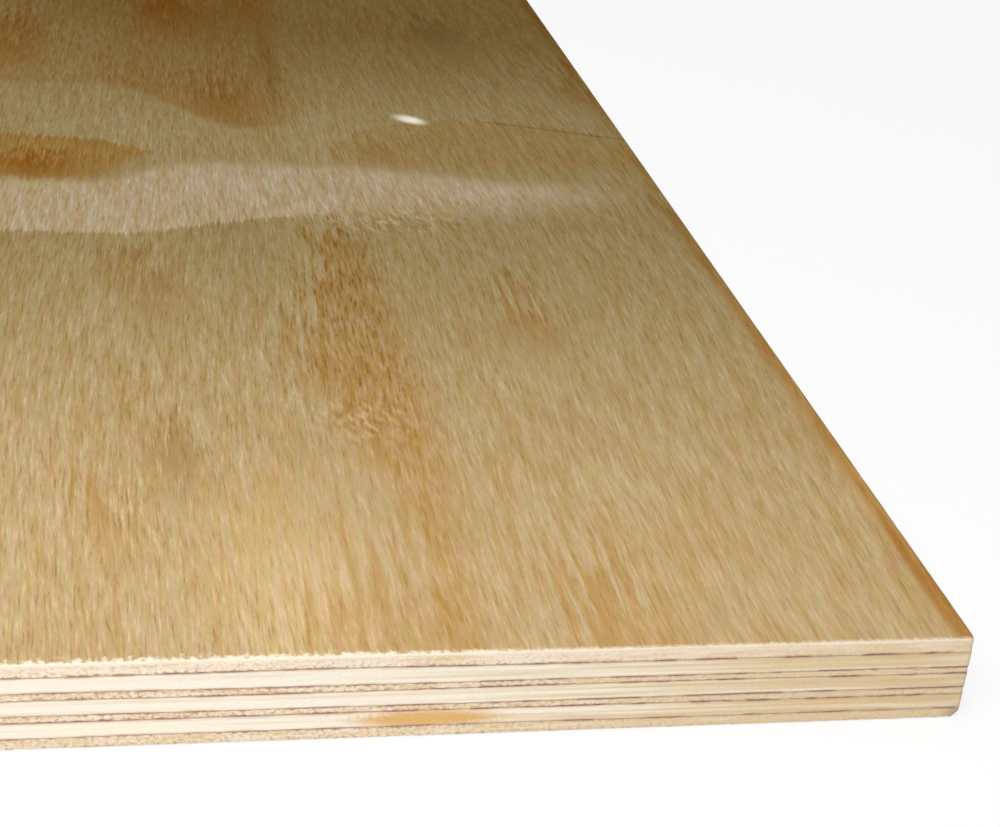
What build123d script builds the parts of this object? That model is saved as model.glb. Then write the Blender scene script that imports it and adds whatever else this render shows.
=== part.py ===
from build123d import *
import os

# A full sheet of seven-ply softwood plywood, lying flat with its face up.
# +X runs across the sheet, +Y along it and along the face grain, +Z up.
# The origin is the middle of the underside. All sizes are in millimetres.

# Outline of the sheet as it is sold
SHEET_WIDTH = 1220.0
SHEET_LENGTH = 2440.0

# Veneers, from the face down. Those with their grain along the sheet show
# end grain on its short edges, and the crossbands show it on the long ones.
FACE_VENEER = 2.95
UPPER_CROSSBAND = 3.0
UPPER_INNER_VENEER = 1.45
CENTRE_CROSSBAND = 3.0
LOWER_INNER_VENEER = 1.4
LOWER_CROSSBAND = 2.75
BACK_VENEER = 2.55

# Cured resin between each two veneers
GLUE_LINE = 0.15

# Sawn corners, and the sanded arris round the face and the back
CORNER_RADIUS = 0.8
ARRIS_RADIUS = 0.5

# The lower +X, -Y corner, where the sheet was set down on it and crushed
KNOCK_ACROSS = 2.0
KNOCK_HEIGHT = 2.2

VENEERS_FROM_THE_BACK = [
    ("back_veneer", BACK_VENEER),
    ("lower_crossband", LOWER_CROSSBAND),
    ("lower_inner_veneer", LOWER_INNER_VENEER),
    ("centre_crossband", CENTRE_CROSSBAND),
    ("upper_inner_veneer", UPPER_INNER_VENEER),
    ("upper_crossband", UPPER_CROSSBAND),
    ("face_veneer", FACE_VENEER),
]


def layer(thickness, underside_height):
    """One flat layer, trimmed with the whole sheet, from its underside up."""
    outline = RectangleRounded(SHEET_WIDTH, SHEET_LENGTH, CORNER_RADIUS)
    return Pos(0, 0, underside_height) * extrude(outline, thickness)


def eased(veneer, side):
    """The veneer with the arris round its top or its bottom sanded round."""
    outer_face = veneer.faces().sort_by(Axis.Z)[side]
    return fillet(outer_face.edges(), ARRIS_RADIUS)


def knocked(veneer):
    """The veneer with the wedge gone that the knock took off its corner."""
    corner = Vector(SHEET_WIDTH / 2, -SHEET_LENGTH / 2, 0)
    on_front_edge = corner - Vector(KNOCK_ACROSS, 0, 0)
    on_side_edge = corner + Vector(0, KNOCK_ACROSS, 0)
    up_the_corner = corner + Vector(0, 0, KNOCK_HEIGHT)
    outwards = (on_side_edge - on_front_edge).cross(up_the_corner - on_front_edge)
    return split(veneer, Plane(on_front_edge, z_dir=outwards), keep=Keep.BOTTOM)


def lay_up():
    """Every veneer and glue line in its place, by name, stacked from the floor."""
    pieces = {}
    height = 0.0
    glue_lines_left = len(VENEERS_FROM_THE_BACK) - 1
    for name, thickness in VENEERS_FROM_THE_BACK:
        pieces[name] = layer(thickness, height)
        height += thickness
        if glue_lines_left:
            pieces[f"glue_line_{glue_lines_left}"] = layer(GLUE_LINE, height)
            height += GLUE_LINE
            glue_lines_left -= 1
    pieces["face_veneer"] = eased(pieces["face_veneer"], -1)
    pieces["back_veneer"] = knocked(eased(pieces["back_veneer"], 0))
    return pieces


os.makedirs("parts", exist_ok=True)
for name, piece in lay_up().items():
    export_step(piece, f"parts/{name}.step")
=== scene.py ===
"""A full sheet of seven-ply pine plywood, with its clear-coated face up.

The veneers and glue lines are modelled as slabs with waving joints and sawn
edges, and every finish is worked out from nodes. Meshes are in metres. The
patterns of the finishes are in millimetres from the middle of the underside.
"""

from typing import NamedTuple

import bmesh
import bpy
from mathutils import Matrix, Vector


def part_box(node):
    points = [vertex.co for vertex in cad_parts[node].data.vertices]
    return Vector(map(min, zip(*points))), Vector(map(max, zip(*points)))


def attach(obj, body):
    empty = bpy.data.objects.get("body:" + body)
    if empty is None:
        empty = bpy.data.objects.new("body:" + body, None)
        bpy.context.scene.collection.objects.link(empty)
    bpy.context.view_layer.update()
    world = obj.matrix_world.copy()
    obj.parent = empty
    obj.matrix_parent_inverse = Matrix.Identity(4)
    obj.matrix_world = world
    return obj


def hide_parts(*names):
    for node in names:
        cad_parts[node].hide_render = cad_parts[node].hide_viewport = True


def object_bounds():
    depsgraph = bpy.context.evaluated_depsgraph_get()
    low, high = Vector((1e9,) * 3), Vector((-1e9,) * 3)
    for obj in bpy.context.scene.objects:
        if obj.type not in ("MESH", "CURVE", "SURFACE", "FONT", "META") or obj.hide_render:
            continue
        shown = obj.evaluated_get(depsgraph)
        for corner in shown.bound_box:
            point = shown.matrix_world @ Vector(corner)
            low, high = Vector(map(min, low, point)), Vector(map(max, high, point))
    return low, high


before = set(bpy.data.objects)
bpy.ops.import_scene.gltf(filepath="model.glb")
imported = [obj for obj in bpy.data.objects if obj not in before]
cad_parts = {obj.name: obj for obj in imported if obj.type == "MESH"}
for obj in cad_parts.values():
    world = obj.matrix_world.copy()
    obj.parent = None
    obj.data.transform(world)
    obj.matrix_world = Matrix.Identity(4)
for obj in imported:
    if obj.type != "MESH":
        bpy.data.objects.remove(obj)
CAD_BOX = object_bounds()

bl_info = {
    "name": "Plywood Sheet",
    "version": (1, 0, 0),
    "blender": (4, 5, 0),
    "location": "3D View > Sidebar > Plywood",
    "description": "Dresses a full sheet of seven-ply pine plywood",
    "category": "Object",
}

MM = 0.001
HALF_WIDTH, HALF_LENGTH, THICKNESS = CAD_BOX[1]
ROOT = "root"
# How far inside the outline a vertex still belongs to the sawn edge
EDGE_MARGIN = 1.5 * MM
# The floor lies a little below the sheet, so that their faces don't meet
FLOOR_SIZE = 40
FLOOR_DROP = 0.05 * MM
# The photograph's viewpoint in metres, its turn in radians and its lens in millimetres
VIEWPOINT = (0.4526, -1.5022, 0.2085)
VIEW_TURN = (1.10921, -0.08528, -0.17589)
VIEW_LENS = 69.82
SENSOR_WIDTH = 36
# Spacing of the log's rings across the sheet in millimetres, and how many more its taper brings out
RING_SPACING = 70
TAPER_RINGS = 12

# The grain of these veneers runs along the sheet, and that of the others across it
ALONG_THE_SHEET = ("back_veneer", "lower_inner_veneer", "upper_inner_veneer", "face_veneer")
ACROSS_THE_SHEET = ("lower_crossband", "centre_crossband", "upper_crossband")
# Counted down from the face
GLUE_LINES = ("glue_line_1", "glue_line_2", "glue_line_3", "glue_line_4", "glue_line_5", "glue_line_6")


def srgb(red, green, blue):
    """A colour as it is seen, from 0 to 255, turned into the light it reflects."""

    def channel(value):
        value /= 255
        return value / 12.92 if value <= 0.04045 else ((value + 0.055) / 1.055) ** 2.4

    return tuple(channel(value) for value in (red, green, blue))


def colour_setting(name, description, colour):
    return bpy.props.FloatVectorProperty(
        name=name, description=description, default=colour, size=3, min=0, max=2, subtype="COLOR"
    )


def length_setting(name, description, metres):
    return bpy.props.FloatProperty(
        name=name, description=description, default=metres, precision=5, unit="LENGTH"
    )


class SheetSizes(bpy.types.PropertyGroup):
    """How finely the edges are modelled and how far the veneers wander."""

    corner_radius: length_setting("Corner radius", "Rounding of the sawn corners", 0.8 * MM)
    arris_radius: length_setting("Arris radius", "Rounding sanded round the face and the back", 0.5 * MM)
    fine_reach: length_setting("Fine reach", "How far from the near corner the edge is fine", 0.3)
    cap_margin: length_setting("Cap margin", "Width of the strip inside the edge", 3 * MM)
    row_height: length_setting("Row height", "Height of a row of faces on the edge", 0.55 * MM)
    wave_height: length_setting("Wave height", "How far a joint between veneers wanders", 1.0 * MM)
    wave_length: length_setting("Wave length", "Distance over which a joint wanders", 0.09)
    end_relief: length_setting("End grain relief", "Depth of the torn fibres on end grain", 0.24 * MM)
    side_relief: length_setting("Side grain relief", "Depth of the saw marks on side grain", 0.08 * MM)
    glue_setback: length_setting("Glue setback", "How far the glue lies behind the edge", 0.04 * MM)
    knock_across: length_setting("Knock across", "Width of the crushed wedge", 2.0 * MM)
    knock_height: length_setting("Knock height", "Height of that wedge", 2.2 * MM)


class FaceColours(bpy.types.PropertyGroup):
    """Colours of the clear-coated face, and the tints that its marks multiply them with."""

    wood: colour_setting("Wood", "Clean wood near the front edge", srgb(187, 160, 115))
    # Drab is also what the face darkens to going back from the front edge, partly painted shade of the
    # light's falloff
    drab_and_shade: colour_setting("Drab", "Greener, duller wood", srgb(153, 133, 91))
    # Dusky is also painted shade far from the near corner, besides the wood of the heartwood bands
    dusky_and_shade: colour_setting("Dusky", "Dull brown wood far from the near corner", srgb(130, 105, 60))
    # Partly a painted reflection: the pale band stands for the coat's sheen as well as paler wood
    pale: colour_setting("Pale", "Greyish pink wood of the smooth band", srgb(176, 157, 124))
    cream: colour_setting("Cream", "Curled and raised fibres", srgb(226, 206, 164))
    # Painted highlight: the near-white of the glint on the coat
    painted_glint: colour_setting("Bare", "Bare wood in the dent", srgb(255, 246, 226))
    resin: colour_setting("Resin", "Tint of wood that is soaked with resin", (0.90, 0.64, 0.27))
    latewood: colour_setting("Latewood", "Tint of a ring that comes to the surface", (0.74, 0.52, 0.20))
    shade: colour_setting("Shade", "Tint of grey shadowy marks", (0.60, 0.59, 0.62))
    # Painted light: a tint that lightens the face where the light falls strongest
    bright: colour_setting("Bright", "Tint of the clearest wood", (1.24, 1.28, 1.34))
    # Partly painted shade: the grooves darkened
    groove_and_shade: colour_setting("Groove", "Tint of the grooves between fibres", (0.72, 0.61, 0.42))
    # Partly a painted glint: raised fibres lightened towards white
    ridge_and_glint: colour_setting("Ridge", "Tint of raised fibres", (1.30, 1.36, 1.52))
    tan: colour_setting("Tan", "Tint of the browner strands", (0.95, 0.90, 0.79))
    ashen: colour_setting("Ashen", "Tint of the greyer strands", (1.04, 1.08, 1.17))
    olive: colour_setting("Olive", "Tint of the greener fibres", (0.95, 1.0, 0.88))
    rosy: colour_setting("Rosy", "Tint of the pinker fibres", (1.05, 0.99, 1.1))


class EdgeColours(bpy.types.PropertyGroup):
    """Colours of the raw wood and the glue on the sawn edges."""

    side_pale: colour_setting("Side grain pale", "Crossband where it is cleanest", srgb(250, 240, 222))
    side_tan: colour_setting("Side grain tan", "Crossband where it is warmer", srgb(226, 202, 160))
    end_pale: colour_setting("End grain pale", "Ends of clean fibres", srgb(244, 226, 203))
    end_tan: colour_setting("End grain tan", "Ends of latewood", srgb(232, 208, 170))
    end_brown: colour_setting("End grain brown", "Torn fibres and pores", srgb(168, 130, 98))
    # Also a painted highlight line along the upper arris near the corner
    froth_and_highlight: colour_setting("Froth", "Raised fibres along the upper arris", srgb(252, 240, 222))
    stain: colour_setting("Stain", "Wood that the glue soaked into", srgb(186, 146, 122))
    resin: colour_setting("Resin", "Resin pocket in a crossband", srgb(224, 172, 92))
    glue_dark: colour_setting("Glue dark", "Glue where the line is full", srgb(166, 126, 114))
    glue_thin: colour_setting("Glue thin", "Glue where the line is starved", srgb(212, 184, 154))


class StageLight(bpy.types.PropertyGroup):
    """The lamps, the surroundings and the floor."""

    near_power: bpy.props.FloatProperty(
        name="Near lamp", description="Power of the lamp by the corner", default=3.5, subtype="POWER"
    )
    top_power: bpy.props.FloatProperty(
        name="Top lamp", description="Power of the overhead lamp", default=38.0, subtype="POWER"
    )
    fill: bpy.props.FloatProperty(
        name="Fill", description="Brightness of the surroundings as light", default=0.2, subtype="FACTOR"
    )
    sky: bpy.props.FloatProperty(
        name="Sky", description="Brightness of the surroundings as seen", default=0.9, subtype="FACTOR"
    )
    floor_glow: bpy.props.FloatProperty(
        name="Floor glow", description="White share of the seen floor", default=0.85, subtype="FACTOR"
    )
    floor_colour: colour_setting("Floor", "Colour of the floor", (0.9, 0.9, 0.9))


class Oval(NamedTuple):
    """A mark that fills an ellipse, placed from the near corner in millimetres.

    The rim is the share of its size over which the mark fades out.
    """

    centre: tuple
    half_size: tuple
    rim: float = 1.0
    strength: float = 1.0


class Patch(NamedTuple):
    """One stain or patch of painted light, an oval along the grain, placed and faded out like a mark."""

    inwards: float
    back: float
    half_width: float
    rim: float
    strength: float


# Painted shade far back from the front edge, painted light nearer it, and a band of duller heartwood,
# inwards from the long edge and back from the front
FAR_PAINTED_SHADE = Oval((60, 490), (230, 200), 0.55)
# Painted light: a lighter patch that makes up for the lamp's falloff
PAINTED_LIGHT_PATCH = Oval((90, 275), (220, 62), strength=0.32)
HEARTWOOD_BAND = Oval((60, 880), (260, 640), 0.7)
# Marks with an outline of their own
OCHRE_RING = Oval((46, 264), (50, 36), 0.06, 0.36)
AMBER_MARK = Oval((186, 253), (43, 23), 0.06)
AMBER_CORE = Oval((180, 251), (17, 17), 0.8)
LONG_GROOVE = Oval((107, 350), (5, 75), strength=0.5)
# Where the fibres lie flatter, and where they stand up more
FLAT_PLACE = Oval((118, 40), (32, 60), strength=0.25)
ROUGH_PLACE = Oval((150, 85), (26, 50), strength=0.35)
# The painted glint lies askew, so it is placed by the sum and the difference of the two distances
PAINTED_GLINT = Oval((365, -231), (12, 6.5), 0.8)
# Marks on the sawn edge, placed round the near corner and by their height
RESIN_POCKET = Oval((106, 4.4), (18, 2.4), 0.6, 0.85)
# Painted shade: a dark smudge low on the near corner
CORNER_PAINTED_SHADE = Oval((0, 1.0), (5, 3.2), strength=0.7)
# Places where the fibres are curled by a knot below
CURLS = (Oval((104, 90), (17, 17)), Oval((84, 210), (34, 16)))

# How much longer than wide a stain is
STAIN_STRETCH = 2.4
# Stains round the near corner, by their tint, and a patch of painted light
STAINS_AND_PAINTED_LIGHT = {
    # Painted light near the middle of the front edge
    "bright": (Patch(126, 20, 24, 1.0, 0.7),),
    "resin": (
        Patch(138, 415, 17, 0.8, 0.75),
        Patch(110, 425, 14, 1.0, 0.6),
        Patch(192, 372, 21, 0.9, 0.65),
        Patch(150, 166, 14, 0.8, 0.3),
        Patch(57, 146, 12, 1.0, 0.45),
        Patch(158, 48, 9, 1.0, 0.35),
        Patch(66, 2, 15, 0.7, 0.4),
        Patch(111, 4, 19, 1.0, 0.3),
        Patch(78, 268, 12, 1.0, 0.25),
    ),
    "latewood": (
        Patch(192, 372, 20, 1.0, 0.3),
        Patch(2, 330, 16, 1.0, 0.5),
        Patch(124, 312, 15, 1.0, 0.5),
        Patch(148, 165, 15, 1.0, 0.2),
        Patch(57, 146, 10, 1.0, 0.2),
        Patch(145, 75, 10, 1.0, 0.35),
        Patch(0, 25, 14, 1.0, 0.3),
        Patch(3, 214, 8, 1.0, 0.4),
    ),
    "shade": (
        Patch(43, 398, 16, 1.0, 0.42),
        Patch(126, 192, 15, 0.8, 0.14),
        Patch(144, 72, 10, 1.0, 0.25),
    ),
}


class Field:
    """A number or colour that varies over a surface. Sums with it add nodes."""

    def __init__(self, nodes, socket):
        self.nodes = nodes
        self.socket = socket

    def with_math(self, operation, *values):
        return self.nodes.node("ShaderNodeMath", {"operation": operation}, dict(enumerate(values)))

    def __add__(self, other):
        return self.with_math("ADD", self, other)

    def __sub__(self, other):
        return self.with_math("SUBTRACT", self, other)

    def __rsub__(self, other):
        return self.with_math("SUBTRACT", other, self)

    def __mul__(self, other):
        return self.with_math("MULTIPLY", self, other)

    def __abs__(self):
        return self.with_math("ABSOLUTE", self)

    def __mod__(self, other):
        return self.with_math("FLOORED_MODULO", self, other)

    __radd__ = __add__
    __rmul__ = __mul__


def set_stops(elements, stops):
    """Gives the elements of a ramp their stops, each a number and a colour."""
    elements.remove(elements[1])
    (first_number, first_tint), *later = stops
    elements[0].position = first_number
    elements[0].color = (*first_tint, 1.0)
    for number, tint in later:
        elements.new(number).color = (*tint, 1.0)


class Nodes:
    """A tree of nodes, written down as sums of fields."""

    def __init__(self, tree):
        self.tree = tree

    def node(self, kind, settings, values, output=0):
        """Adds a node, sets it up, and feeds its sockets with numbers or fields."""
        node = self.tree.nodes.new(kind)
        for name, value in settings.items():
            if name == "stops":
                set_stops(node.color_ramp.elements, value)
            else:
                setattr(node, name, value)
        for name, value in values.items():
            socket = node.inputs[name]
            if isinstance(value, Field):
                self.tree.links.new(value.socket, socket)
            else:
                socket.default_value = value
        return Field(self, node.outputs[output])

    def point(self, across, along):
        """A place on a flat pattern, from its two distances."""
        return self.node("ShaderNodeCombineXYZ", {}, {0: across, 1: along})

    def scaled(self, point, centre, size):
        """The point as seen from a centre, in multiples of a size."""
        scale = tuple(1 / length for length in size)
        shift = tuple(-place / length for place, length in zip(centre, size))
        values = {0: point, 1: (*scale, 0), 2: (*shift, 0)}
        return self.node("ShaderNodeVectorMath", {"operation": "MULTIPLY_ADD"}, values)

    def noise(self, point, size, detail=1.0, roughness=0.5, shift=0.0):
        """Smooth noise from 0 to 1 about a half, with spots of that size in millimetres."""
        start = (shift * size[0], shift * 1.7 * size[1])
        values = {"Vector": self.scaled(point, start, size), "Scale": 1.0}
        values.update({"Detail": detail, "Roughness": roughness})
        return self.node("ShaderNodeTexNoise", {"noise_dimensions": "2D"}, values)

    def step(self, field, low, high, before=0.0, after=1.0):
        """Goes smoothly from one number to the other between low and high, either way round."""
        values = {0: field, 1: low, 2: high, 3: before, 4: after}
        return self.node("ShaderNodeMapRange", {"interpolation_type": "SMOOTHSTEP"}, values)

    def oval(self, point, mark):
        """How strongly a mark shows at the point."""
        from_centre = self.scaled(point, mark.centre, mark.half_size)
        reach = self.node("ShaderNodeVectorMath", {"operation": "LENGTH"}, {0: from_centre}, output=1)
        return self.step(reach, 1.0, 1.0 - mark.rim, 0.0, mark.strength)

    def greater(self, first, second):
        """The greater of two numbers."""
        return self.node("ShaderNodeMath", {"operation": "MAXIMUM"}, {0: first, 1: second})

    def blend(self, share, first, second):
        """A number that goes from the first to the second with the share."""
        return self.node("ShaderNodeMix", {"data_type": "FLOAT"}, {0: share, 2: first, 3: second})

    def mix(self, share, first, second, way="MIX"):
        """The first colour, with this share of the second mixed in."""
        colours = [value if isinstance(value, Field) else (*value, 1.0) for value in (first, second)]
        settings = {"data_type": "RGBA", "clamp_factor": True, "blend_type": way}
        return self.node("ShaderNodeMix", settings, {0: share, 6: colours[0], 7: colours[1]}, output=2)

    def stain(self, share, colour, tint):
        """The colour, multiplied with this share of a tint."""
        return self.mix(share, colour, tint, "MULTIPLY")

    def ramp(self, field, stops):
        """A colour that changes with the field, through stops of a number and a colour each."""
        return self.node("ShaderNodeValToRGB", {"stops": stops}, {0: field})

    def seen(self):
        """1 for what the camera sees, also in metal or through glass, and 0 for light on the object."""
        rays = ("Is Camera Ray", "Is Glossy Ray", "Is Transmission Ray")
        camera, glossy, through = (self.node("ShaderNodeLightPath", {}, {}, ray) for ray in rays)
        return self.greater(self.greater(camera, glossy), through)


class Finish(Nodes):
    """The nodes of one material, with the place on the sheet in millimetres."""

    def __init__(self, name, roughness):
        self.material = bpy.data.materials.new(name)
        self.material.use_nodes = True
        super().__init__(self.material.node_tree)
        self.shader = self.tree.nodes["Principled BSDF"]
        self.shader.inputs["Roughness"].default_value = roughness
        metres = self.node("ShaderNodeTexCoord", {}, {}, "Object")
        place = self.node("ShaderNodeVectorMath", {"operation": "SCALE"}, {0: metres, "Scale": 1 / MM})
        axes = (self.node("ShaderNodeSeparateXYZ", {}, {0: place}, axis) for axis in range(3))
        self.x, self.y, self.z = axes

    def inwards(self):
        """The distance from the long edge at the near corner."""
        return HALF_WIDTH / MM - self.x

    def back(self):
        """The distance back from the front edge."""
        return self.y + HALF_LENGTH / MM

    def bump(self, height, depth):
        """Raises the surface by a height from 0 to 1, that deep in metres."""
        bump = self.node("ShaderNodeBump", {}, {"Height": height, "Distance": depth, "Strength": 1.0})
        self.tree.links.new(bump.socket, self.shader.inputs["Normal"])

    def wear(self, colour):
        """Feeds the shader's colour."""
        self.tree.links.new(colour.socket, self.shader.inputs["Base Color"])
        return self.material


class Surroundings(Nodes):
    """The nodes of the world: white where it is seen, and dim as light on the object."""

    def __init__(self, light):
        self.world = bpy.data.worlds.new("surroundings")
        self.world.use_nodes = True
        super().__init__(self.world.node_tree)
        background = self.tree.nodes["Background"]
        background.inputs["Color"].default_value = (1, 1, 1, 1)
        strength = self.step(self.seen(), 0, 1, light.fill, light.sky)
        self.tree.links.new(strength.socket, background.inputs["Strength"])


def scene_settings(name):
    """One of the groups of settings that register puts on the scene."""
    return getattr(bpy.context.scene, name)


def edit(piece):
    """Opens a piece in edit mode, with nothing else selected."""
    bpy.ops.object.select_all(action="DESELECT")
    piece.select_set(True)
    bpy.context.view_layer.objects.active = piece
    bpy.ops.object.mode_set(mode="EDIT")


def select_edges(piece, wanted):
    """Selects the edges whose middle and length are wanted."""
    bpy.ops.mesh.select_mode(type="EDGE")
    bpy.ops.mesh.select_all(action="DESELECT")
    mesh = bmesh.from_edit_mesh(piece.data)
    for edge in mesh.edges:
        middle = (edge.verts[0].co + edge.verts[1].co) / 2
        edge.select_set(bool(wanted(middle, edge.calc_length())))
    bmesh.update_edit_mesh(piece.data)


def sheet_outline(sizes):
    """The sheet's outline on the floor, as a closed line that is finest at the near corner."""
    bpy.ops.object.select_all(action="DESELECT")
    bpy.ops.mesh.primitive_plane_add(size=1)
    outline = bpy.context.object
    outline.name = "outline"
    outline.scale = (2 * HALF_WIDTH, 2 * HALF_LENGTH, 1)
    bpy.ops.object.transform_apply(location=True, rotation=True, scale=True)
    edit(outline)
    bpy.ops.mesh.select_all(action="SELECT")
    bpy.ops.mesh.bevel(offset=sizes.corner_radius, segments=4, affect="VERTICES")
    bpy.ops.mesh.delete(type="ONLY_FACE")

    def on_front(middle):
        return middle.y < -HALF_LENGTH + 0.5 * MM

    def on_near_side(middle):
        return middle.x > HALF_WIDTH - 0.5 * MM

    def on_front_or_far_end(middle):
        return abs(middle.y) > HALF_LENGTH - 0.5 * MM

    near_x = HALF_WIDTH - sizes.fine_reach
    near_y = -HALF_LENGTH + sizes.fine_reach
    # Only the four straight edges are that long
    select_edges(outline, lambda middle, length: length > 0.5)
    bpy.ops.mesh.subdivide(number_cuts=49)
    coarse = 10 * MM
    # How often each edge that is still coarse is cut, stretch by stretch
    stretches = (
        (39, lambda middle: on_front(middle) and middle.x > near_x),
        (11, lambda middle: on_front(middle)),
        (59, lambda middle: on_near_side(middle) and middle.y < near_y),
        (7, on_front_or_far_end),
        (15, lambda middle: True),
    )
    for cuts, here in stretches:
        select_edges(outline, lambda middle, length: length > coarse and here(middle))
        bpy.ops.mesh.subdivide(number_cuts=cuts)
    bpy.ops.object.mode_set(mode="OBJECT")
    return outline


def slab_from(outline, name, rings):
    """A closed slab raised from the outline through rings of a height and an inset each."""
    piece = outline.copy()
    piece.data = outline.data.copy()
    piece.name = piece.data.name = name
    bpy.context.scene.collection.objects.link(piece)
    edit(piece)
    bpy.ops.mesh.select_all(action="SELECT")
    height, half_width, half_length = 0.0, HALF_WIDTH, HALF_LENGTH
    for ring, (ring_height, inset) in enumerate(rings):
        rise = {"value": (0, 0, ring_height - height)}
        if ring == 0:
            bpy.ops.transform.translate(**rise)
        else:
            bpy.ops.mesh.extrude_region_move(TRANSFORM_OT_translate=rise)
        shrink = ((HALF_WIDTH - inset) / half_width, (HALF_LENGTH - inset) / half_length, 1)
        bpy.ops.transform.resize(value=shrink, center_override=(0, 0, 0))
        if ring == 0:
            bpy.ops.mesh.edge_face_add()
        height, half_width, half_length = ring_height, HALF_WIDTH - inset, HALF_LENGTH - inset
    bpy.ops.mesh.select_all(action="SELECT")
    bpy.ops.mesh.normals_make_consistent(inside=False)
    bpy.ops.object.mode_set(mode="OBJECT")
    return piece


def arris(sizes, height, upwards):
    """Rings of a rounded edge that ends at a height, as seen from inside the sheet."""
    radius = sizes.arris_radius
    # Drop and inset along a quarter circle, in multiples of its radius
    quarter = ((1.0, 0.0), (0.62, 0.08), (0.29, 0.29), (0.08, 0.62), (0.0, 1.0))
    rings = [(height - upwards * drop * radius, inset * radius) for drop, inset in quarter]
    return rings if upwards > 0 else rings[::-1]


def rows_between(low, high, row_height):
    """Heights from low to high, both ends with them, in rows of about that height."""
    rows = max(2, round((high - low) / row_height))
    return [low + (high - low) * row / rows for row in range(rows + 1)]


def group(piece, name, weigh):
    """A vertex group with the weight that each vertex of the edge gets, where it gets any."""
    vertices = piece.vertex_groups.new(name=name)
    for vertex in piece.data.vertices:
        weight = weigh(vertex.co)
        if weight > 0:
            vertices.add([vertex.index], weight, "REPLACE")


def displace(piece, texture, strength, vertices, direction="Z", middle=0.5):
    """Moves a piece's vertices by a texture, as far as their group's weights let it."""
    modifier = piece.modifiers.new("Wander", "DISPLACE")
    modifier.texture = texture
    modifier.texture_coords = "LOCAL"
    modifier.direction = direction
    modifier.strength = strength
    modifier.mid_level = middle
    modifier.vertex_group = vertices
    bpy.ops.object.select_all(action="DESELECT")
    piece.select_set(True)
    bpy.context.view_layer.objects.active = piece
    bpy.ops.object.modifier_apply(modifier=modifier.name)


def cloud(name, size, depth):
    """A cloud texture of that grain size, made once and shared."""
    texture = bpy.data.textures.get(name) or bpy.data.textures.new(name, "CLOUDS")
    texture.noise_scale = size
    texture.noise_depth = depth
    return texture


def joint_wave(number, sizes):
    """The wandering of one joint between veneers, the same for all that meet at it."""
    # Longer from joint to joint, so that no two wander alike
    stretch = 1 + 0.13 * number
    return cloud(f"joint_{number}", sizes.wave_length * stretch, 3)


def glue_line_number(height):
    """Which glue line lies at that height, or none at the face and the back."""
    for number, line in enumerate(GLUE_LINES, 1):
        low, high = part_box(line)
        if low.z - 0.01 * MM <= height <= high.z + 0.01 * MM:
            return number
    return None


def on_short_edge(place):
    return abs(place.y) > HALF_LENGTH - EDGE_MARGIN


def on_edge(place):
    return abs(place.x) > HALF_WIDTH - EDGE_MARGIN or on_short_edge(place)


def mark_joints(piece, joints):
    """Notes how far each vertex is from the nearest glued joint, in millimetres."""
    heights = [vertex.co.z for vertex in piece.data.vertices]
    distances = [min(abs(height - joint) for joint in joints) / MM for height in heights]
    piece.data.attributes.new("from_joint", "FLOAT", "POINT")
    piece.data.attributes["from_joint"].data.foreach_set("value", distances)


def tear_edges(piece, sizes, grain_along_sheet):
    """Roughens the end grain, and marks the side grain faintly."""

    def over_short_edges(place):
        return float(on_short_edge(place))

    def over_long_edges(place):
        return float(on_edge(place) and not on_short_edge(place))

    ends, sides = over_short_edges, over_long_edges
    if not grain_along_sheet:
        ends, sides = sides, ends
    group(piece, "ends", ends)
    group(piece, "sides", sides)
    displace(piece, cloud("torn fibres", 0.9 * MM, 2), sizes.end_relief, "ends", "NORMAL", 1.0)
    displace(piece, cloud("saw marks", 5 * MM, 1), sizes.side_relief, "sides", "NORMAL", 1.0)


def knock_corner(piece, sizes):
    """Takes off the wedge that was crushed at the lower near corner."""
    corner = Vector((HALF_WIDTH, -HALF_LENGTH, 0))
    on_front_edge = corner - Vector((sizes.knock_across, 0, 0))
    on_side_edge = corner + Vector((0, sizes.knock_across, 0))
    up_the_corner = corner + Vector((0, 0, sizes.knock_height))
    outwards = (on_side_edge - on_front_edge).cross(up_the_corner - on_front_edge).normalized()
    edit(piece)
    bpy.ops.mesh.select_all(action="SELECT")
    cut = {"plane_co": on_front_edge, "plane_no": outwards, "threshold": 0.001 * MM}
    bpy.ops.mesh.bisect(use_fill=True, clear_outer=True, **cut)
    bpy.ops.object.mode_set(mode="OBJECT")


def make_veneer(outline, node, sizes):
    """One veneer: a slab whose hidden joints wave and whose sawn edge is torn."""
    low, high = (corner.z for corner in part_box(node))
    # The rows end short of a rounded edge, so that none crowds it
    arris_height = sizes.arris_radius * 1.2
    rings = [(height, 0.0) for height in rows_between(low, high, sizes.row_height)]
    if node == "face_veneer":
        rings = [ring for ring in rings if ring[0] < high - arris_height] + arris(sizes, high, 1)
    if node == "back_veneer":
        rings = arris(sizes, low, -1) + [ring for ring in rings if ring[0] > low + arris_height]
    rings = [(low, sizes.cap_margin), *rings, (high, sizes.cap_margin)]
    piece = slab_from(outline, node.replace("_veneer", "_ply").replace("_crossband", "_crossply"), rings)
    numbers = ((height, glue_line_number(height)) for height in (low, high))
    joints = {height: number for height, number in numbers if number}
    mark_joints(piece, joints)
    for joint, number in joints.items():
        other = high if joint == low else low
        name = f"joint_{number}"
        group(piece, name, lambda place: on_edge(place) * (place.z - other) / (joint - other))
        displace(piece, joint_wave(number, sizes), sizes.wave_height, name)
    tear_edges(piece, sizes, node in ALONG_THE_SHEET)
    if node == "back_veneer":
        knock_corner(piece, sizes)
    return piece


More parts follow.
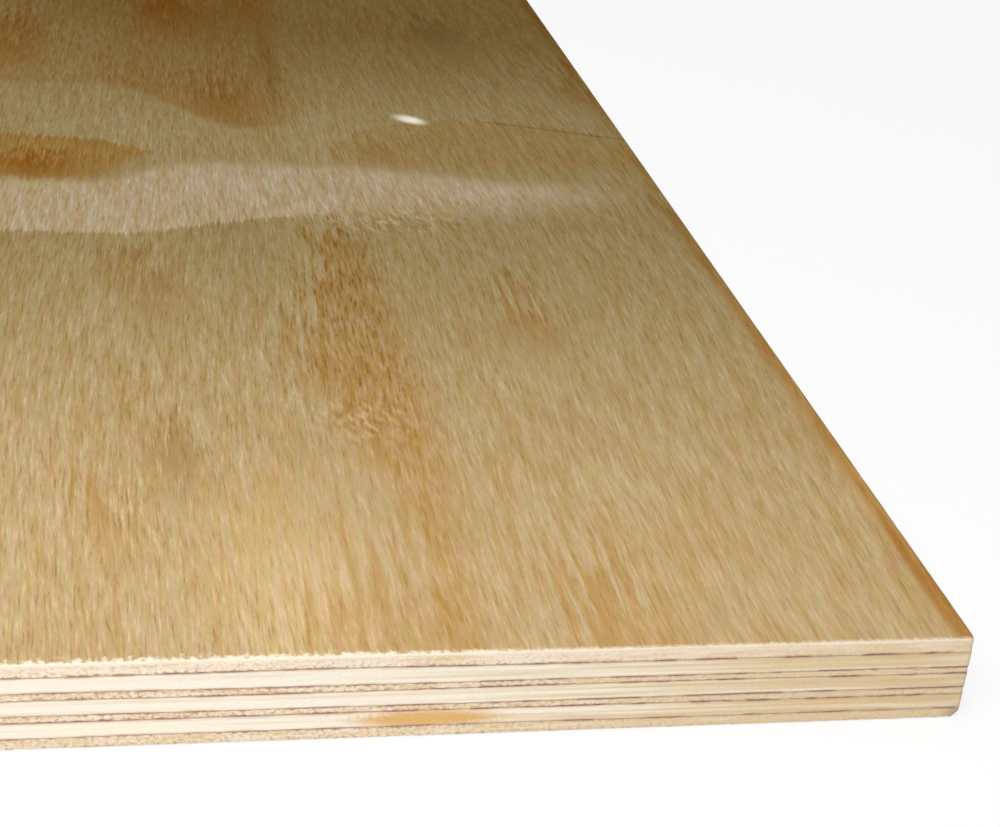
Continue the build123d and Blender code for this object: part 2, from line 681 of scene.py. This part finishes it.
def make_glue_line(outline, node, sizes):
    """One glue line, a thin slab that follows the joint it fills."""
    low, high = (corner.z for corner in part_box(node))
    setback = sizes.glue_setback
    rings = [(low, sizes.cap_margin), (low, setback), (high, setback), (high, sizes.cap_margin)]
    piece = slab_from(outline, node.replace("glue_line", "glue"), rings)
    group(piece, "edge", lambda place: float(on_edge(place)))
    displace(piece, joint_wave(GLUE_LINES.index(node) + 1, sizes), sizes.wave_height, "edge")
    return piece


def hand_over(piece, node, edge_material, flat_material=None):
    """Hands a finished piece to the frame in place of its CAD node.

    The flat material goes on the faces that look up or down.
    """
    bpy.ops.object.select_all(action="DESELECT")
    piece.select_set(True)
    bpy.context.view_layer.objects.active = piece
    bpy.ops.object.shade_smooth_by_angle(angle=0.6)
    piece.data.materials.clear()
    piece.data.materials.append(edge_material)
    if flat_material:
        piece.data.materials.append(flat_material)
        for face in piece.data.polygons:
            face.material_index = int(abs(face.normal.z) > 0.7)
    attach(piece, ROOT)
    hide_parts(node)


def raw_wood(finish, colours, grain_along_sheet):
    """Colour of a sawn edge: end grain where the fibres stop, side grain where they pass."""
    inwards = finish.inwards()
    back = finish.back()
    edge = finish.point(finish.x + finish.y, finish.z)
    from_joint = finish.node("ShaderNodeAttribute", {"attribute_name": "from_joint"}, {}, output=2)

    # The front edge turns tan and darker towards the near corner, partly the wood's own tone and partly
    # painted shade of the light's falloff, and the rest varies by itself
    near = finish.step(inwards + back, 260, 200)
    by_itself = finish.noise(edge, (240, 9), 1, shift=2.0)
    warmth_and_shade = finish.blend(near, by_itself, finish.step(inwards, 150, 0, 0.28, 0.72))
    bands = finish.noise(edge, (15, 1.1), 1, shift=4.0)
    speckle = finish.noise(edge, (0.9, 0.65), 1, 0.6)
    soaked = finish.step(from_joint, 0.5, 0.05) * finish.step(glue_fill(finish), 0.6, 0.4, 0.15, 0.75)

    streaks = finish.noise(edge, (60, 0.9), 2)
    side = finish.mix(finish.step(streaks + warmth_and_shade, 0.75, 1.35), colours.side_pale, colours.side_tan)
    side = finish.mix(finish.step(bands * warmth_and_shade, 0.26, 0.44, 0.0, 0.2), side, colours.resin)
    side = finish.mix(soaked * 0.4, side, colours.stain)
    below_face = finish.step(finish.z, 15.2, 13.5, 0.0, 0.2)
    latewood = finish.step(bands + warmth_and_shade * 0.6 + below_face, 0.6, 1.05)
    end = finish.mix(latewood, colours.end_pale, colours.end_tan)
    end = finish.mix(soaked, end, colours.stain)
    rough = finish.step(warmth_and_shade, 0.3, 0.65, 1.0, 0.25)
    end = finish.mix(finish.step(speckle, 0.52, 0.74, 0.0, 0.3) * rough, end, colours.end_brown)
    end = finish.mix(finish.step(speckle, 0.46, 0.28, 0.0, 0.5) * rough, end, colours.side_pale)
    low = finish.greater(finish.step(finish.z, 1.1, 0.3), finish.step(from_joint, 0.7, 0.2))
    end = finish.mix(finish.step(speckle, 0.55, 0.66, 0.0, 0.5) * low * rough, end, colours.glue_dark)
    # Pale along the upper arris: raised froth away from the corner, and a painted highlight line nearer
    # it
    arris = finish.step(finish.z + speckle * 1.2, THICKNESS / MM - 0.3, THICKNESS / MM + 0.3, 0.0, 0.8)
    end = finish.mix(arris * finish.step(warmth_and_shade, 0.3, 0.6, 1.0, 0.6), end, colours.froth_and_highlight)
    if grain_along_sheet:
        on_end = finish.step(abs(finish.y), HALF_LENGTH / MM - 0.9, HALF_LENGTH / MM - 0.4)
    else:
        on_end = finish.step(abs(finish.x), HALF_WIDTH / MM - 0.9, HALF_WIDTH / MM - 0.4)
    colour = finish.mix(on_end, side, end)
    # Painted shade low on the near corner
    corner_shade = finish.oval(finish.point(inwards + back, finish.z), CORNER_PAINTED_SHADE)
    return finish.mix(corner_shade, colour, colours.glue_dark), speckle


def glue_fill(finish):
    """From 0 where a joint is full of glue to 1 where it is starved, about a half."""
    return finish.noise(finish.point(finish.x + finish.y, finish.z), (8, 3), 2, 0.6)


class Grain:
    """The fields that all marks of a peeled face are drawn with."""

    def __init__(self, finish):
        flat = finish.point(finish.x, finish.y)
        # The long bends of the grain, its small waves, and the distance across that follows both
        self.wander = finish.noise(flat, (110, 320), 0) - 0.5
        self.ripple = finish.noise(flat, (26, 40), 2, 0.6, shift=3.0) - 0.5
        self.across = finish.x + self.wander * 18 + self.ripple * 1.4
        # Single fibres, wider strands of one lightness, and the change of hue among them
        self.fibres = self.strands(finish, (0.8, 10), 3, 0.72)
        self.tint = self.strands(finish, (2.2, 30), 0, shift=11.0)
        self.hue = self.strands(finish, (1.3, 9), 1, shift=6.0)
        self.drift = finish.noise(finish.point(self.across, finish.y), (60, 240), 0, shift=9.0)

    def strands(self, finish, size, detail, roughness=0.5, shift=0.0):
        """Noise drawn out along the grain, in rows that lie askew so that no ends line up."""
        width, length = size
        askew = finish.point(
            self.across - finish.y * (width / length / 2),
            finish.y + self.across * (length / width / 2),
        )
        return finish.noise(askew, size, detail, roughness, shift)


def heartwood(finish, grain):
    """The share of duller wood, which runs along the sheet in long bands."""
    bands = finish.noise(finish.point(grain.across, finish.y), (330, 1700), 0, shift=4.0)
    return finish.step(bands, 0.5, 0.68)


def log_figure(finish, grain, colours, heart):
    """Wood with wandering rings of the log, each sharp on one side and faded on the other."""
    wood = finish.mix(finish.step(grain.drift, 0.3, 0.7, 0.0, 0.35), colours.wood, colours.drab_and_shade)
    wood = finish.mix(heart * 0.4, wood, colours.dusky_and_shade)
    drawn_out = finish.y + grain.fibres * 60
    where = finish.point(grain.across + grain.wander * 40, drawn_out)
    taper = finish.noise(where, (240, 1600), 1, 0.4, shift=5.0)
    ring = (taper * TAPER_RINGS + grain.across * (1 / RING_SPACING)) % 1.0
    ring = finish.step(ring, 0.3, 0.9) * finish.step(ring, 1.0, 0.93, 0.0, 0.5)
    return finish.stain(ring, wood, colours.latewood)


def fibres(finish, grain, colour, colours, coarse):
    """The colour with a change of tint from strand to strand, with grooves darkened as partly painted
    shade and raised fibres lightened as partly a painted glint.
    """
    strands = finish.ramp(grain.tint + grain.ripple * 0.6, ((0.2, colours.tan), (0.8, colours.ashen)))
    colour = finish.stain(1.0, colour, strands)
    hues = finish.ramp(grain.hue, ((0.3, colours.olive), (0.7, colours.rosy)))
    colour = finish.stain(1.0, colour, hues)
    plain = (1, 1, 1)
    # Grooves darkened as partly painted shade, raised fibres lightened as partly a painted glint
    fibre_tone_and_shading = ((0.26, colours.groove_and_shade), (0.46, plain), (0.54, plain), (0.74, colours.ridge_and_glint))
    return finish.stain(coarse, colour, finish.ramp(grain.fibres, fibre_tone_and_shading))


def peeled_wood(finish, colours):
    """Colour and height of a peeled face with the figure of the log alone."""
    grain = Grain(finish)
    wood = log_figure(finish, grain, colours, heartwood(finish, grain))
    return fibres(finish, grain, wood, colours, 0.7), grain.fibres


def photographed_wood(finish, colours):
    """Colour of the face, with its own marks round the near corner."""
    grain = Grain(finish)
    inwards = finish.inwards()
    back = finish.back()
    # Darker going back from the front edge: partly duller wood and partly painted shade of the light's
    # falloff
    colour = finish.mix(finish.step(back, 15, 225), colours.wood, colours.drab_and_shade)
    near_across = inwards + grain.ripple * 6
    near_back = back + grain.ripple * 6 + grain.fibres * 9 - 4.5
    where = finish.point(near_across, near_back)
    # Painted shade: darker far back from the near corner
    colour = finish.mix(finish.oval(where, FAR_PAINTED_SHADE), colour, colours.dusky_and_shade)
    # Painted light: lighter where the lamp's falloff is made up for
    colour = finish.stain(finish.oval(where, PAINTED_LIGHT_PATCH), colour, colours.bright)
    # Pale band, partly paler wood and partly a painted reflection
    colour = pale_band_and_reflection(finish, colour, colours, near_across, near_back)
    colour = dark_tongue(finish, colour, colours, near_across, near_back, grain.hue)
    ochre = finish.oval(where, OCHRE_RING) * finish.step(near_back, 246, 262)
    colour = finish.stain(ochre, colour, colours.resin)
    stained_back = near_back + grain.fibres * 34 + grain.tint * 50 - 42
    ragged_back = near_back + grain.fibres * 16 + grain.hue * 16 - 16
    colour = pitch_pocket(finish, colour, colours, where, ragged_back, grain.hue)
    colour = stains_and_painted_light(finish, colour, colours, near_across + grain.tint * 12 - 6, stained_back)
    colour = resin_streak(finish, colour, colours, near_across, stained_back, grain)

    where = finish.point(inwards, back)
    colour = finish.stain(finish.oval(where, LONG_GROOVE), colour, colours.latewood)
    beyond = finish.step(finish.greater(inwards, back * 0.45), 200, 280)
    heart = finish.greater(heartwood(finish, grain), finish.oval(where, HEARTWOOD_BAND))
    colour = finish.mix(beyond, colour, log_figure(finish, grain, colours, heart))
    # How strongly the fibres' tone, painted glints and painted shade show
    coarse = finish.step(inwards, 60, 170, 0.95, 1.35) * finish.step(back, 10, 170, 0.75, 0.9)
    coarse = coarse - finish.oval(where, FLAT_PLACE) + finish.oval(where, ROUGH_PLACE)
    colour = fibres(finish, grain, colour, colours, coarse)
    colour = curls(finish, colour, colours, grain, where)
    strip = finish.step(abs(finish.x) + grain.fibres * 4, HALF_WIDTH / MM - 3.0, HALF_WIDTH / MM - 0.5)
    colour = finish.stain(strip * finish.step(grain.drift, 0.38, 0.62, 0.4, 0.7), colour, colours.resin)
    return finish.stain(strip * finish.step(back, 60, 10, 0.0, 0.35), colour, colours.latewood)


def stains_and_painted_light(finish, colour, colours, inwards, back):
    """The colour with all stains, and the patch of painted light, laid over it.

    Each is an oval that is round once it is squeezed along the grain.
    """
    where = finish.point(inwards, back * (1 / STAIN_STRETCH))
    for tint, patches in STAINS_AND_PAINTED_LIGHT.items():
        share = 0.0
        for patch in patches:
            centre = (patch.inwards, patch.back / STAIN_STRETCH, 0)
            ends = {0: where, 1: centre}
            reach = finish.node("ShaderNodeVectorMath", {"operation": "DISTANCE"}, ends, output=1)
            solid = patch.half_width * (1 - patch.rim)
            share = finish.step(reach, patch.half_width, solid, share, patch.strength)
        colour = finish.stain(share, colour, getattr(colours, tint))
    return colour


def pitch_pocket(finish, colour, colours, where, ragged_back, hue):
    """The amber mark far inwards, sharp at the back and ragged in front, with a dark core."""
    inwards = finish.node("ShaderNodeSeparateXYZ", {}, {0: where})
    front = finish.step(inwards, 168, 146, 238, 262)
    share = finish.oval(where, AMBER_MARK) * finish.step(ragged_back - front, -3, 3)
    colour = finish.stain(share * 0.75, colour, colours.resin)
    core = finish.oval(finish.point(inwards, ragged_back), AMBER_CORE)
    core = core * finish.step(hue, 0.35, 0.6, 1.1, 0.5)
    colour = finish.stain(core * 0.85, colour, colours.resin)
    return finish.stain(core * 0.3, colour, colours.latewood)


def pale_band_and_reflection(finish, colour, colours, inwards, back):
    """The pale band that crosses the near corner and thins out towards the long edge, partly paler wood
    and partly a painted reflection in the coat.
    """
    lower = finish.step(inwards, 155, 105, 198, 212) + finish.step(inwards, 105, 40, 0, 8)
    upper = finish.step(inwards, 100, 30, 252, 240) + finish.step(inwards, 135, 165, 0, -16)
    softness = finish.step(inwards, 112, 92, 1.2, 14)
    share = finish.step(back - lower, softness * -1, softness) * finish.step(back - upper, 6, -4)
    return finish.mix(share * finish.step(inwards, 0, 50), colour, colours.pale)


def dark_tongue(finish, colour, colours, inwards, back, hue):
    """The brown figure far back, which ends in a tongue with a sharp lower edge."""
    lower = finish.step(inwards, 118, 162, 285, 325) + finish.step(inwards, 112, 96, 0, 16)
    share = finish.step(back - lower, -3.0, 5.0) * finish.step(inwards + hue * 24 - 12, 90, 118)
    share = share * finish.step(inwards, 150, 172, 1.0, 0.65) * finish.step(hue, 0.3, 0.6, 1.15, 0.85)
    colour = finish.stain(share * 0.45, colour, colours.resin)
    return finish.stain(share * finish.step(back, 370, 320, 0.0, 0.32), colour, colours.latewood)


def resin_streak(finish, colour, colours, inwards, back, grain):
    """The streak of resin that runs from the front edge up to the pale band."""
    middle = finish.step(back, 55, 110, 96, 103) + finish.step(back, 140, 195, 0, -5)
    reach = finish.step(back, 35, 105, 3, 12) + finish.step(back, 140, 205, 0, -7)
    share = finish.step(abs(inwards + grain.tint * 8 - 4 - middle) - reach, 4.5, -4.5)
    share = share * finish.step(back, 218, 190) * finish.step(grain.hue, 0.35, 0.65, 1.15, 0.5)
    colour = finish.stain(share * 0.55, colour, colours.resin)
    grooves = finish.step(grain.fibres, 0.5, 0.3, 0.05, 0.6)
    return finish.stain(share * finish.step(back, 60, 120, 0.0, 1.0) * grooves, colour, colours.latewood)


def curls(finish, colour, colours, grain, where):
    """Short curled fibres, pale with dark hollows between them."""
    askew = finish.point(finish.x + grain.fibres * 3, finish.y + finish.x)
    squiggle = finish.noise(askew, (2.0, 3.4), 1, shift=2.0)
    here = sum(finish.oval(where, curl) for curl in CURLS)
    colour = finish.stain(finish.step(squiggle, 0.5, 0.34) * here * 0.4, colour, colours.latewood)
    return finish.mix(finish.step(squiggle, 0.52, 0.7) * here * 0.3, colour, colours.cream)


def glint_and_scratch(finish, colour, colours):
    """A painted glint where the coat catches the light, and the hairline scratch beside it."""
    inwards = finish.inwards()
    back = finish.back()
    from_scratch = abs(back - inwards * 0.33 - 283.2)
    scratch = finish.step(from_scratch, 1.3, 0.1) * finish.step(inwards, 50, 36, 0.0, 0.7)
    colour = finish.stain(scratch, colour, colours.shade)
    # Painted highlight, a glint on the coat
    along_glint = inwards + back
    glint = finish.oval(finish.point(along_glint, inwards - back), PAINTED_GLINT)
    return finish.mix(glint * finish.step(along_glint, 378, 362, 0.3, 1.0), colour, colours.painted_glint)


def face_finish(face, edges):
    """Rotary-peeled pine under a clear coat, with frothy raised fibres along its short edges and, near
    the corner, a painted highlight line along the arris.
    """
    finish = Finish("clear_coated_face", 0.45)
    colour = glint_and_scratch(finish, photographed_wood(finish, face), face)
    # Froth along the short edges, weaker near the corner, where it paints a highlight line on the arris
    raised = finish.step(finish.x, HALF_WIDTH / MM - 60, HALF_WIDTH / MM - 135, 1.0, 3.4)
    froth_and_highlight = (finish.noise(finish.point(finish.x, finish.y), (1.1, 1.4), 1, shift=8.0) - 0.32) * raised
    froth_and_highlight = finish.step(froth_and_highlight + abs(finish.y), HALF_LENGTH / MM - 1.0, HALF_LENGTH / MM + 0.7, 0.0, 0.75)
    colour = finish.mix(froth_and_highlight, colour, edges.froth_and_highlight)
    finish.bump(finish.noise(finish.point(finish.x, finish.y), (0.8, 2.4), 1, shift=6.0), 0.06 * MM)
    finish.shader.inputs["Specular IOR Level"].default_value = 0.0
    return finish.wear(colour)


def back_finish(face, edges):
    """Bare peeled pine, as it is below."""
    finish = Finish("peeled_back", 0.8)
    colour, height = peeled_wood(finish, face)
    finish.bump(height, 0.15 * MM)
    finish.shader.inputs["Specular IOR Level"].default_value = 0.2
    return finish.wear(finish.mix(0.3, colour, edges.side_pale))


def edge_finish(name, colours, grain_along_sheet):
    """Raw sawn pine, as the edge shows it."""
    finish = Finish(name, 0.85)
    colour, speckle = raw_wood(finish, colours, grain_along_sheet)
    if not grain_along_sheet:
        where = finish.point(finish.inwards() + speckle * 6, finish.z + speckle * 0.8)
        pocket = finish.oval(where, RESIN_POCKET)
        pocket = pocket * finish.step(finish.y, 6 - HALF_LENGTH / MM, 3 - HALF_LENGTH / MM)
        colour = finish.mix(pocket, colour, colours.resin)
    finish.bump(speckle, 0.1 * MM)
    finish.shader.inputs["Specular IOR Level"].default_value = 0.2
    return finish.wear(colour)


def glue_finish(colours):
    """Cured resin, dark where the line is full and faint where it is starved."""
    finish = Finish("cured_glue", 0.5)
    inwards = finish.inwards()
    thinned = finish.step(glue_fill(finish), 0.42, 0.56, finish.step(inwards, 50, 170, 0.0, 0.5))
    return finish.wear(finish.mix(thinned, colours.glue_dark, colours.glue_thin))


class PLYWOOD_OT_lay_veneers(bpy.types.Operator):
    """Model the seven veneers and give them their finishes"""

    bl_idname = "plywood.lay_veneers"
    bl_label = "Lay Veneers"

    def execute(self, context):
        sizes = scene_settings("plywood_sizes")
        face = scene_settings("plywood_face")
        edges = scene_settings("plywood_edges")
        flat_finishes = {
            "face_veneer": face_finish(face, edges),
            "back_veneer": back_finish(face, edges),
        }
        outline = sheet_outline(sizes)
        along = edge_finish("pine_along", edges, True)
        for node in ALONG_THE_SHEET:
            veneer = make_veneer(outline, node, sizes)
            hand_over(veneer, node, along, flat_finishes.get(node))
        across = edge_finish("pine_across", edges, False)
        for node in ACROSS_THE_SHEET:
            hand_over(make_veneer(outline, node, sizes), node, across)
        bpy.data.objects.remove(outline)
        return {"FINISHED"}


class PLYWOOD_OT_spread_glue(bpy.types.Operator):
    """Model the six glue lines between the veneers"""

    bl_idname = "plywood.spread_glue"
    bl_label = "Spread Glue"

    def execute(self, context):
        sizes = scene_settings("plywood_sizes")
        glue = glue_finish(scene_settings("plywood_edges"))
        outline = sheet_outline(sizes)
        for node in GLUE_LINES:
            hand_over(make_glue_line(outline, node, sizes), node, glue)
        bpy.data.objects.remove(outline)
        return {"FINISHED"}


def add_lamp(name, power, size, location, target):
    """A square area lamp that faces a point and doesn't show itself."""
    bpy.ops.object.light_add(type="AREA", location=location)
    lamp = bpy.context.object
    lamp.name = name
    lamp.data.energy = power
    lamp.data.size = size
    lamp.rotation_euler = (Vector(target) - Vector(location)).to_track_quat("-Z", "Y").to_euler()
    lamp.visible_camera = False


class PLYWOOD_OT_set_stage(bpy.types.Operator):
    """Set the floor, the lamps, the surroundings and the camera"""

    bl_idname = "plywood.set_stage"
    bl_label = "Set Stage"

    def execute(self, context):
        light = scene_settings("plywood_light")
        bpy.ops.object.select_all(action="DESELECT")
        bpy.ops.mesh.primitive_plane_add(size=FLOOR_SIZE, location=(0, 0, -FLOOR_DROP))
        floor = bpy.context.object
        floor.name = "floor"
        floor.data.materials.append(self.floor_finish(light))
        near, above = (0.3, -1.48, 0.54), (-0.2, -0.2, 2.8)
        add_lamp("near_lamp", light.near_power, size=0.35, location=near, target=(0.46, -1.16, 0))
        add_lamp("overhead_lamp", light.top_power, size=3.0, location=above, target=(0, 0, 0))
        context.scene.world = Surroundings(light).world
        context.scene.view_settings.view_transform = "Standard"
        self.add_camera(context)
        return {"FINISHED"}

    def floor_finish(self, light):
        """Plain pale floor that reads as white from the camera and keeps the shadow."""
        finish = Finish("pale_floor", 0.9)
        seen = finish.seen()
        glow = finish.node("ShaderNodeEmission", {}, {0: (1, 1, 1, 1), 1: 1.0})
        finish.shader.inputs["Base Color"].default_value = (*light.floor_colour, 1)
        finish.shader.inputs["Specular IOR Level"].default_value = 0.0
        shader = Field(finish, finish.shader.outputs[0])
        both = finish.node("ShaderNodeMixShader", {}, {0: seen * light.floor_glow, 1: shader, 2: glow})
        output = finish.tree.nodes["Material Output"]
        finish.tree.links.new(both.socket, output.inputs["Surface"])
        return finish.material

    def add_camera(self, context):
        """The photograph's view of the near corner."""
        bpy.ops.object.camera_add(location=VIEWPOINT)
        camera = bpy.context.object
        camera.rotation_euler = VIEW_TURN
        camera.data.sensor_width = SENSOR_WIDTH
        camera.data.lens = VIEW_LENS
        camera.data.clip_start = 0.01
        context.scene.camera = camera


class PLYWOOD_PT_sheet(bpy.types.Panel):
    """Lists the steps that make the sheet"""

    bl_label = "Plywood Sheet"
    bl_space_type = "VIEW_3D"
    bl_region_type = "UI"
    bl_category = "Plywood"

    def draw(self, context):
        for step in STEPS:
            self.layout.operator(step.bl_idname)


SETTINGS = {
    "plywood_sizes": SheetSizes,
    "plywood_face": FaceColours,
    "plywood_edges": EdgeColours,
    "plywood_light": StageLight,
}
STEPS = (PLYWOOD_OT_lay_veneers, PLYWOOD_OT_spread_glue, PLYWOOD_OT_set_stage)


def register():
    for group_or_step in (*SETTINGS.values(), *STEPS, PLYWOOD_PT_sheet):
        bpy.utils.register_class(group_or_step)
    for name, settings_group in SETTINGS.items():
        setattr(bpy.types.Scene, name, bpy.props.PointerProperty(type=settings_group))


def unregister():
    for name in SETTINGS:
        delattr(bpy.types.Scene, name)
    for group_or_step in (PLYWOOD_PT_sheet, *reversed(STEPS), *SETTINGS.values()):
        bpy.utils.unregister_class(group_or_step)


def main():
    register()
    bpy.ops.plywood.set_stage()
    bpy.ops.plywood.lay_veneers()
    bpy.ops.plywood.spread_glue()


if __name__ == "__main__":
    main()
